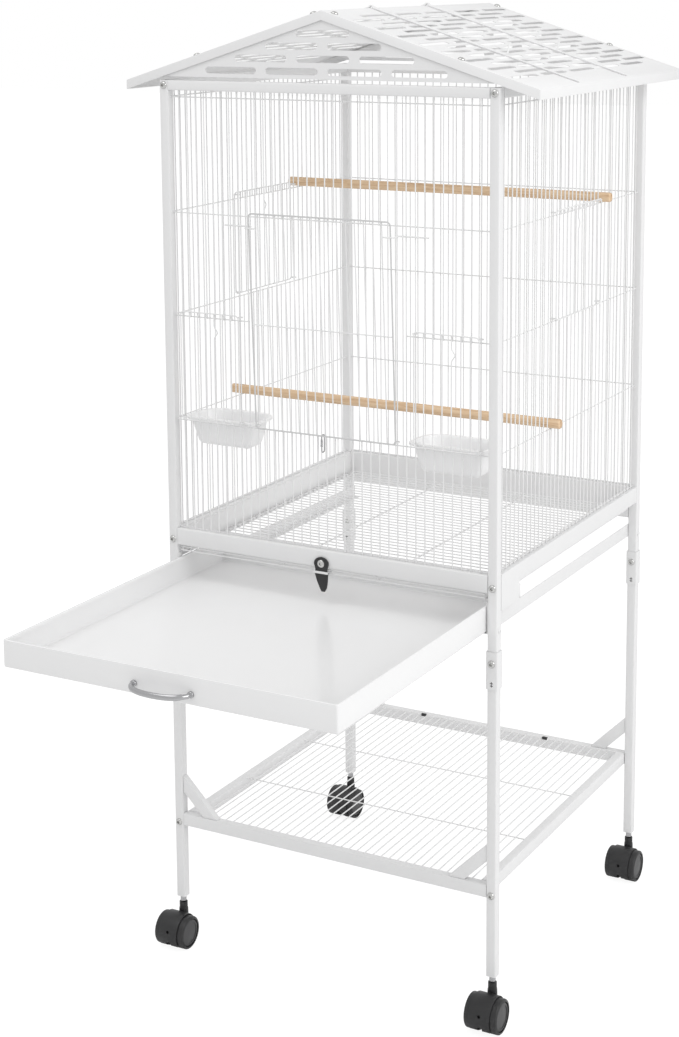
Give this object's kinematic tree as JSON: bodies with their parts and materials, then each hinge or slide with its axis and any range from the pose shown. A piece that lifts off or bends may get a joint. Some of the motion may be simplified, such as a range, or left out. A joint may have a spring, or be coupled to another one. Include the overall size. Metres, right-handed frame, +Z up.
{
  "type": "bird cage on rolling stand",
  "caption": "Tall wire bird cage with a gabled slotted roof on a four-legged rolling stand, lifting doors, hanging cups, perches and a slide-out litter tray.",
  "frame": {"origin": "on the floor, under the middle of the whole footprint with the tray pulled out as it stands at rest", "axes": "+Z up, +X to the right of someone facing the front, +Y from the front to the back; the tray pulls out along -Y"},
  "size_m": [0.729, 1.117, 1.592],
  "materials": {
    "white_paint": "white powder coat, satin",
    "tray_paint": "white enamel, glossy",
    "cup_plastic": "white moulded plastic",
    "chrome": "chrome plated",
    "black_plastic": "black moulded plastic",
    "beech": "plain beech dowel, unvarnished"
  },
  "bodies": {
    "cage_and_stand": {"post_front_left": "white_paint", "post_front_right": "white_paint", "post_back_left": "white_paint", "post_back_right": "white_paint", "leg_front_left": "white_paint", "leg_front_right": "white_paint", "leg_back_left": "white_paint", "leg_back_right": "white_paint", "top_rail_front": "white_paint", "top_rail_back": "white_paint", "top_rail_left": "white_paint", "top_rail_right": "white_paint", "base_rail_front": "white_paint", "base_rail_back": "white_paint", "base_rail_left": "white_paint", "base_rail_right": "white_paint", "tray_guide_left": "white_paint", "tray_guide_right": "white_paint", "wall_front": "white_paint", "wall_back": "white_paint", "wall_left": "white_paint", "wall_right": "white_paint", "door_guide_left": "white_paint", "door_guide_right": "white_paint", "roof_panel_left": "white_paint", "roof_panel_right": "white_paint", "gable_front": "white_paint", "gable_back": "white_paint", "grate": "white_paint", "latch_screw": "chrome", "shelf_rail_front": "white_paint", "shelf_rail_back": "white_paint", "shelf_rail_left": "white_paint", "shelf_rail_right": "white_paint", "shelf_grille": "white_paint", "brace_front_left": "white_paint", "brace_front_right": "white_paint", "brace_back_left": "white_paint", "brace_back_right": "white_paint", "perch_upper": "beech", "perch_lower": "beech", "feeder_cup_left": "cup_plastic", "feeder_cup_right": "cup_plastic"},
    "main_door": {"main_door": "white_paint"},
    "feeder_door_left": {"feeder_door_left": "white_paint"},
    "feeder_door_right": {"feeder_door_right": "white_paint"},
    "nest_door_left": {"nest_door_left": "white_paint"},
    "nest_door_right": {"nest_door_right": "white_paint"},
    "tray": {"tray": "tray_paint", "tray_handle": "chrome"},
    "latch": {"latch": "black_plastic"},
    "clip": {"snap_hook": "chrome"},
    "caster_front_left": {"caster_body_front_left": "black_plastic"},
    "caster_front_right": {"caster_body_front_right": "black_plastic"},
    "caster_back_left": {"caster_body_back_left": "black_plastic"},
    "caster_back_right": {"caster_body_back_right": "black_plastic"},
    "wheels_front_left": {"caster_wheels_front_left": "black_plastic"},
    "wheels_front_right": {"caster_wheels_front_right": "black_plastic"},
    "wheels_back_left": {"caster_wheels_back_left": "black_plastic"},
    "wheels_back_right": {"caster_wheels_back_right": "black_plastic"}
  },
  "joints": [
    {"name": "main_door_lift", "type": "slide", "parent": "cage_and_stand", "child": "main_door", "axis": [0, 0, 1], "range_m": [0, 0.31]},
    {"name": "feeder_door_left_lift", "type": "slide", "parent": "cage_and_stand", "child": "feeder_door_left", "axis": [0, 0, 1], "range_m": [0, 0.14]},
    {"name": "feeder_door_right_lift", "type": "slide", "parent": "cage_and_stand", "child": "feeder_door_right", "axis": [0, 0, 1], "range_m": [0, 0.14]},
    {"name": "nest_door_left_lift", "type": "slide", "parent": "cage_and_stand", "child": "nest_door_left", "axis": [0, 0, 1], "range_m": [0, 0.15]},
    {"name": "nest_door_right_lift", "type": "slide", "parent": "cage_and_stand", "child": "nest_door_right", "axis": [0, 0, 1], "range_m": [0, 0.15]},
    {"name": "tray_slide", "type": "slide", "parent": "cage_and_stand", "child": "tray", "axis": [0, 1, 0], "range_m": [0, 0.4575]},
    {"name": "latch_turn", "type": "hinge", "parent": "cage_and_stand", "child": "latch", "pos_m": [-0.007, -0.0611, 0.716], "axis": [0, 1, 0], "range_deg": [-90, 90]},
    {"name": "clip_swing", "type": "hinge", "parent": "cage_and_stand", "child": "clip", "pos_m": [-0.008, -0.05025, 0.922], "axis": [1, 0, 0], "range_deg": [-35, 0]},
    {"name": "caster_front_left_swivel", "type": "hinge", "parent": "cage_and_stand", "child": "caster_front_left", "pos_m": [-0.292, -0.05125, 0.09], "axis": [0, 0, 1], "continuous": true},
    {"name": "caster_front_right_swivel", "type": "hinge", "parent": "cage_and_stand", "child": "caster_front_right", "pos_m": [0.292, -0.05125, 0.09], "axis": [0, 0, 1], "continuous": true},
    {"name": "caster_back_left_swivel", "type": "hinge", "parent": "cage_and_stand", "child": "caster_back_left", "pos_m": [-0.292, 0.54875, 0.09], "axis": [0, 0, 1], "continuous": true},
    {"name": "caster_back_right_swivel", "type": "hinge", "parent": "cage_and_stand", "child": "caster_back_right", "pos_m": [0.292, 0.54875, 0.09], "axis": [0, 0, 1], "continuous": true},
    {"name": "wheels_front_left_roll", "type": "hinge", "parent": "caster_front_left", "child": "wheels_front_left", "pos_m": [-0.292, -0.07325, 0.028], "axis": [1, 0, 0], "continuous": true},
    {"name": "wheels_front_right_roll", "type": "hinge", "parent": "caster_front_right", "child": "wheels_front_right", "pos_m": [0.292, -0.07325, 0.028], "axis": [1, 0, 0], "continuous": true},
    {"name": "wheels_back_left_roll", "type": "hinge", "parent": "caster_back_left", "child": "wheels_back_left", "pos_m": [-0.292, 0.52675, 0.028], "axis": [1, 0, 0], "continuous": true},
    {"name": "wheels_back_right_roll", "type": "hinge", "parent": "caster_back_right", "child": "wheels_back_right", "pos_m": [0.292, 0.52675, 0.028], "axis": [1, 0, 0], "continuous": true}
  ]
}
